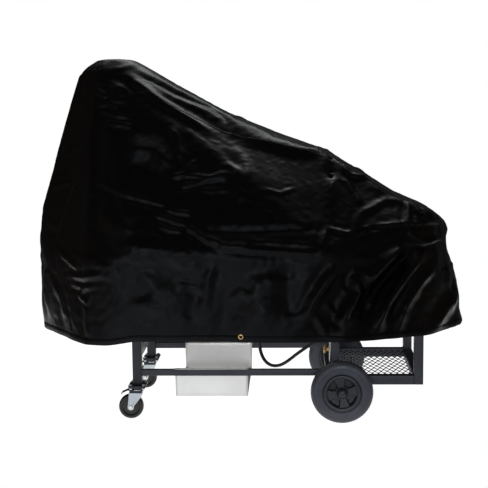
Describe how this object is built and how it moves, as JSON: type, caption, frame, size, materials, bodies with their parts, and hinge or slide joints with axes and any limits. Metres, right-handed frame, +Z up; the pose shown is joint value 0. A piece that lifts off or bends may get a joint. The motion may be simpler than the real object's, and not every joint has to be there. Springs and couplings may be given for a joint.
{
  "type": "covered barbecue smoker cart",
  "caption": "Wheeled offset smoker on a steel cart, wearing a fitted black vinyl cover, with casters, log shelf, drip tray and gas hose.",
  "frame": {"origin": "on the floor under the middle of the whole object", "axes": "+X along the cart from the caster and flue end to the firebox and main wheel end, +Y from the operator's side to the back, +Z up"},
  "size_m": [1.784, 0.851, 1.467],
  "materials": {
    "frame_paint": "satin charcoal powder coat",
    "zinc_plate": "bright zinc plate",
    "stainless": "brushed stainless sheet",
    "heat_black": "matt high-temperature black",
    "brass": "turned brass",
    "tyre_rubber": "solid black rubber",
    "rim_plastic": "moulded black rim",
    "hose_rubber": "smooth black hose",
    "cover_vinyl": "black vinyl-coated cloth, half gloss"
  },
  "bodies": {
    "cart": {"near_caster_leg": "frame_paint", "far_caster_leg": "frame_paint", "near_end_post": "frame_paint", "far_end_post": "frame_paint", "near_middle_post": "frame_paint", "far_middle_post": "frame_paint", "near_lower_rail": "frame_paint", "far_lower_rail": "frame_paint", "near_shelf_rail": "frame_paint", "far_shelf_rail": "frame_paint", "caster_end_rail": "frame_paint", "end_shelf_rail": "frame_paint", "inner_shelf_rail": "frame_paint", "log_shelf_mesh": "frame_paint", "near_axle_bracket": "frame_paint", "far_axle_bracket": "frame_paint", "axle": "zinc_plate", "near_caster_plate": "zinc_plate", "far_caster_plate": "zinc_plate", "lid_hinge_barrel": "zinc_plate", "firebox_hinge_barrel": "zinc_plate", "shelf_hinge": "zinc_plate", "pull_handle": "stainless", "cooking_chamber": "stainless", "flue_stack": "stainless", "flue_cap": "stainless", "end_handle": "stainless", "valve_plate": "stainless", "cooking_grate": "heat_black", "firebox": "heat_black", "fire_grate": "heat_black", "gas_regulator": "heat_black", "gas_valve_stem": "brass", "hose_fitting": "brass", "gas_hose": "hose_rubber"},
    "cover": {"cover_front_panel": "cover_vinyl", "cover_back_panel": "cover_vinyl", "cover_left_band": "cover_vinyl", "cover_top_band": "cover_vinyl", "cover_right_band": "cover_vinyl"},
    "lid": {"cooking_lid": "stainless", "lid_handle": "stainless", "lid_thermometer": "stainless"},
    "fire_lid": {"firebox_lid": "heat_black", "firebox_lid_handle": "stainless"},
    "shelf": {"front_shelf": "stainless"},
    "tray": {"drip_tray": "stainless"},
    "knob": {"gas_valve_knob": "brass"},
    "damper": {"flue_damper": "zinc_plate"},
    "air_vent": {"air_damper": "heat_black"},
    "near_wheel": {"near_tyre": "tyre_rubber", "near_rim": "rim_plastic"},
    "far_wheel": {"far_tyre": "tyre_rubber", "far_rim": "rim_plastic"},
    "near_swivel": {"near_caster_fork": "zinc_plate"},
    "far_swivel": {"far_caster_fork": "zinc_plate"},
    "near_roller": {"near_caster_wheel": "tyre_rubber"},
    "far_roller": {"far_caster_wheel": "tyre_rubber"},
    "near_brake": {"near_brake_pedal": "zinc_plate"},
    "far_brake": {"far_brake_pedal": "zinc_plate"}
  },
  "joints": [
    {"name": "cover_lift", "type": "slide", "parent": "cart", "child": "cover", "axis": [0, 0, 1], "range_m": [0, 1.15]},
    {"name": "lid_hinge", "type": "hinge", "parent": "cart", "child": "lid", "pos_m": [-0.073, 0.3025, 1.073], "axis": [-1, 0, 0], "range_deg": [0, 80]},
    {"name": "firebox_lid_hinge", "type": "hinge", "parent": "cart", "child": "fire_lid", "pos_m": [0.519, 0.2781, 0.845], "axis": [-1, 0, 0], "range_deg": [0, 80]},
    {"name": "front_shelf_fold", "type": "hinge", "parent": "cart", "child": "shelf", "pos_m": [-0.064, -0.192, 0.686], "axis": [1, 0, 0], "range_deg": [0, 85]},
    {"name": "drip_tray_slide", "type": "slide", "parent": "cart", "child": "tray", "axis": [1, 0, 0], "range_m": [-0.11, 0.31]},
    {"name": "gas_valve_turn", "type": "hinge", "parent": "cart", "child": "knob", "pos_m": [0.299, -0.1825, 0.285], "axis": [1, 0, 0], "range_deg": [0, 270]},
    {"name": "flue_damper_turn", "type": "hinge", "parent": "cart", "child": "damper", "pos_m": [-0.585, 0.0535, 1.18], "axis": [0, 1, 0], "range_deg": [0, 90]},
    {"name": "air_damper_turn", "type": "hinge", "parent": "cart", "child": "air_vent", "pos_m": [0.712, 0.0535, 0.56], "axis": [1, 0, 0], "range_deg": [0, 45]},
    {"name": "near_wheel_spin", "type": "hinge", "parent": "cart", "child": "near_wheel", "pos_m": [0.367, -0.2675, 0.127], "axis": [0, 1, 0], "continuous": true},
    {"name": "far_wheel_spin", "type": "hinge", "parent": "cart", "child": "far_wheel", "pos_m": [0.367, 0.3745, 0.127], "axis": [0, 1, 0], "continuous": true},
    {"name": "near_caster_swivel", "type": "hinge", "parent": "cart", "child": "near_swivel", "pos_m": [-0.47095, -0.19845, 0.125], "axis": [0, 0, 1], "continuous": true},
    {"name": "near_caster_spin", "type": "hinge", "parent": "near_swivel", "child": "near_roller", "pos_m": [-0.49995, -0.19845, 0.0508], "axis": [0, 1, 0], "continuous": true},
    {"name": "near_brake_press", "type": "hinge", "parent": "near_swivel", "child": "near_brake", "pos_m": [-0.50545, -0.19845, 0.1195], "axis": [0, -1, 0], "range_deg": [0, 12]},
    {"name": "far_caster_swivel", "type": "hinge", "parent": "cart", "child": "far_swivel", "pos_m": [-0.47095, 0.30545, 0.125], "axis": [0, 0, 1], "continuous": true},
    {"name": "far_caster_spin", "type": "hinge", "parent": "far_swivel", "child": "far_roller", "pos_m": [-0.49995, 0.30545, 0.0508], "axis": [0, 1, 0], "continuous": true},
    {"name": "far_brake_press", "type": "hinge", "parent": "far_swivel", "child": "far_brake", "pos_m": [-0.50545, 0.30545, 0.1195], "axis": [0, -1, 0], "range_deg": [0, 12]}
  ],
  "couplings": [
    {"joint": "lid_hinge", "follows": "cover_lift", "rad_per_m": 1.21},
    {"joint": "firebox_lid_hinge", "follows": "cover_lift", "rad_per_m": 1.21}
  ]
}
